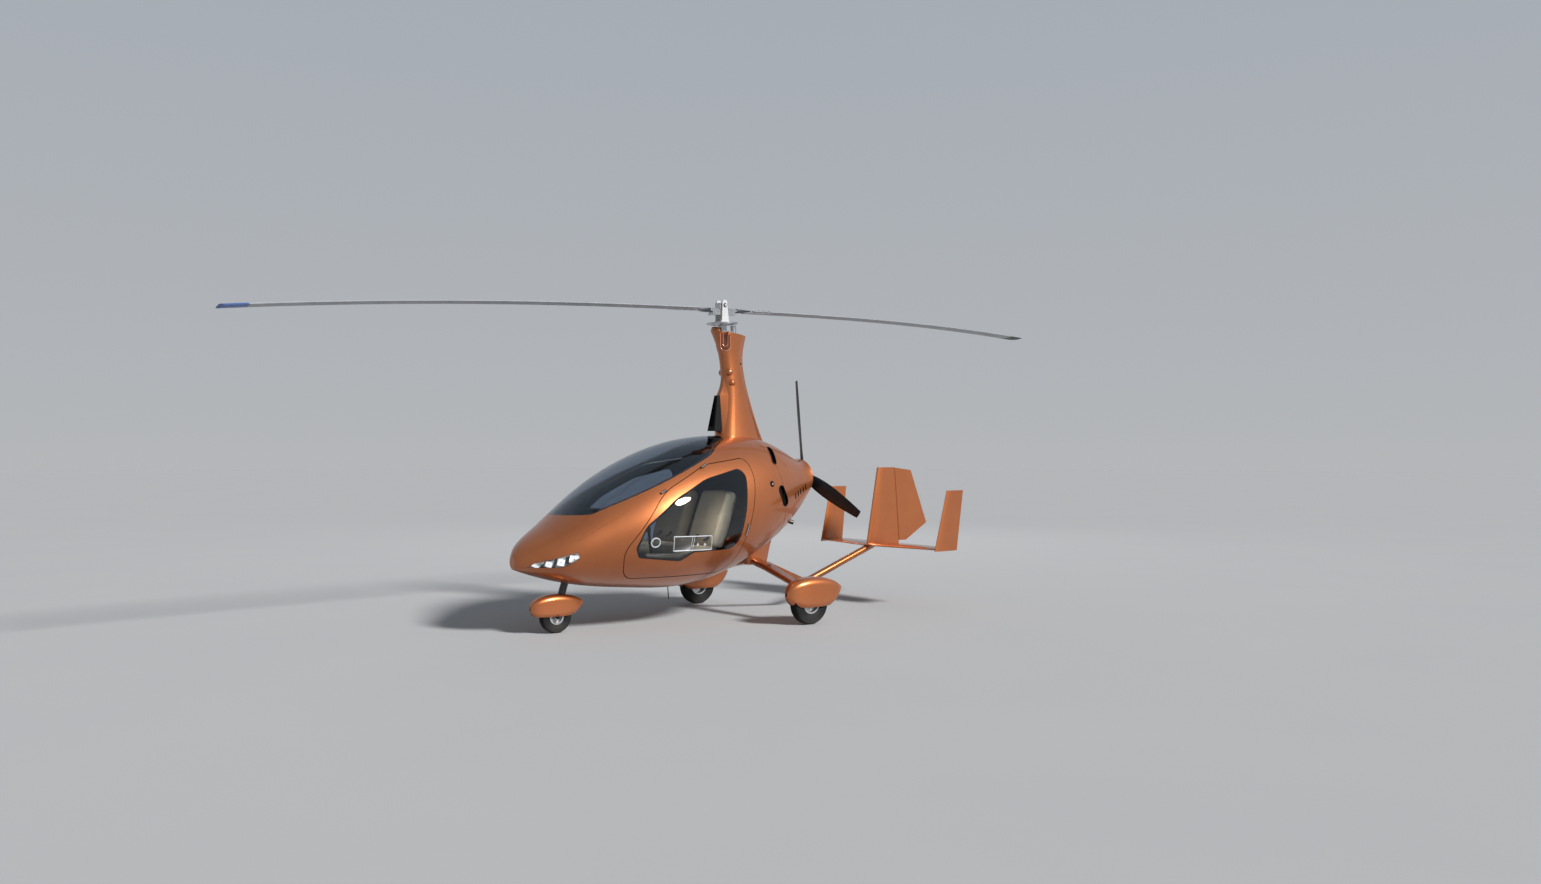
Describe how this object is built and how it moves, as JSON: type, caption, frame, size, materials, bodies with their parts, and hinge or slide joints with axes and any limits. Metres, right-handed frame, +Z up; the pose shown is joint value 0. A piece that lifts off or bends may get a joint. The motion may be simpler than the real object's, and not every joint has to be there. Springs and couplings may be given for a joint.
{
  "type": "gyrocopter",
  "caption": "Enclosed two-seat gyrocopter with a two-bladed rotor on a faired mast, a pusher propeller, a low tail boom with fins and rudder, and three spatted wheels.",
  "frame": {"origin": "on the ground, directly below the middle of the rotor, which is also the middle of the part's plan box", "axes": "+Z up, -Y towards the nose, +X towards the port side"},
  "size_m": [1.8664, 8.389, 2.8042],
  "materials": {
    "copper_paint": "metallic gloss",
    "tinted_glass": "gloss, tinted",
    "lamp_glass": "gloss",
    "black_plastic": "satin",
    "boom_metal": "metallic gloss",
    "steel": "satin",
    "dark_steel": "satin",
    "alloy": "satin",
    "blade_alloy": "satin",
    "prop_composite": "gloss",
    "engine_metal": "cast",
    "seat_leather": "soft",
    "panel_plastic": "matte",
    "tyre": "matte",
    "rim_alloy": "satin"
  },
  "bodies": {
    "airframe": {"pod_shell": "copper_paint", "engine_cowl": "copper_paint", "windscreen": "tinted_glass", "headlamp_left": "lamp_glass", "headlamp_right": "lamp_glass", "mast_fairing": "copper_paint", "air_intake": "black_plastic", "belly_pylon": "copper_paint", "gear_bow": "copper_paint", "tail_boom": "boom_metal", "stabiliser": "copper_paint", "fin": "copper_paint", "outer_fin_left": "copper_paint", "outer_fin_right": "copper_paint", "main_axle_left": "steel", "main_axle_right": "steel", "main_spat_left": "copper_paint", "main_spat_right": "copper_paint", "rotor_head": "alloy", "engine_block": "engine_metal", "seat_left": "seat_leather", "seat_right": "seat_leather", "instrument_panel": "panel_plastic", "centre_console": "panel_plastic", "control_stick_left": "black_plastic", "control_stick_right": "black_plastic", "exhaust_pipe": "dark_steel", "belly_aerial": "black_plastic", "fuel_cap": "black_plastic", "side_gills": "black_plastic", "headlamp_tray_left": "black_plastic", "headlamp_tray_right": "black_plastic"},
    "port_door": {"door_left": "copper_paint", "door_window_left": "tinted_glass", "door_hinge_left": "dark_steel"},
    "starboard_door": {"door_right": "copper_paint", "door_window_right": "tinted_glass", "door_hinge_right": "dark_steel"},
    "rotor": {"rotor_hub_bar": "alloy", "rotor_tower": "alloy", "prerotator_ring": "steel", "rotor_blade_front": "blade_alloy", "rotor_blade_rear": "blade_alloy"},
    "propeller": {"propeller_hub": "alloy", "propeller_blade_1": "prop_composite", "propeller_blade_2": "prop_composite", "propeller_blade_3": "prop_composite"},
    "nose_steering": {"nose_fork": "dark_steel", "nose_spat": "copper_paint"},
    "nose_wheel": {"nose_tyre": "tyre", "nose_rim": "rim_alloy"},
    "port_wheel": {"main_tyre_left": "tyre", "main_rim_left": "rim_alloy"},
    "starboard_wheel": {"main_tyre_right": "tyre", "main_rim_right": "rim_alloy"},
    "rudder_body": {"rudder": "copper_paint"}
  },
  "joints": [
    {"name": "rotor_spin", "type": "hinge", "parent": "airframe", "child": "rotor", "pos_m": [0, 0, 2.712], "axis": [0, -0.0394, 0.9992], "continuous": true},
    {"name": "propeller_spin", "type": "hinge", "parent": "airframe", "child": "propeller", "pos_m": [0, 0.922, 1.26], "axis": [0, 1, 0], "continuous": true},
    {"name": "nose_steer", "type": "hinge", "parent": "airframe", "child": "nose_steering", "pos_m": [0, -1.625, 0.13], "axis": [0, 0.2982, 0.9545], "range_deg": [-25, 25]},
    {"name": "nose_wheel_spin", "type": "hinge", "parent": "nose_steering", "child": "nose_wheel", "pos_m": [0, -1.625, 0.13], "axis": [1, 0, 0], "continuous": true},
    {"name": "port_wheel_spin", "type": "hinge", "parent": "airframe", "child": "port_wheel", "pos_m": [0.849, 0.312, 0.178], "axis": [1, 0, 0], "continuous": true},
    {"name": "starboard_wheel_spin", "type": "hinge", "parent": "airframe", "child": "starboard_wheel", "pos_m": [-0.849, 0.312, 0.178], "axis": [1, 0, 0], "continuous": true},
    {"name": "rudder_swing", "type": "hinge", "parent": "airframe", "child": "rudder_body", "pos_m": [0, 2.171, 0.578], "axis": [0, -0.0852, 0.9964], "range_deg": [-25, 25]},
    {"name": "port_door_swing", "type": "hinge", "parent": "airframe", "child": "port_door", "pos_m": [0.555, -0.9535, 1.135], "axis": [0.0781, -0.8921, -0.445], "range_deg": [0, 75]},
    {"name": "starboard_door_swing", "type": "hinge", "parent": "airframe", "child": "starboard_door", "pos_m": [-0.555, -0.9535, 1.135], "axis": [0.0781, 0.8921, 0.445], "range_deg": [0, 75]}
  ]
}
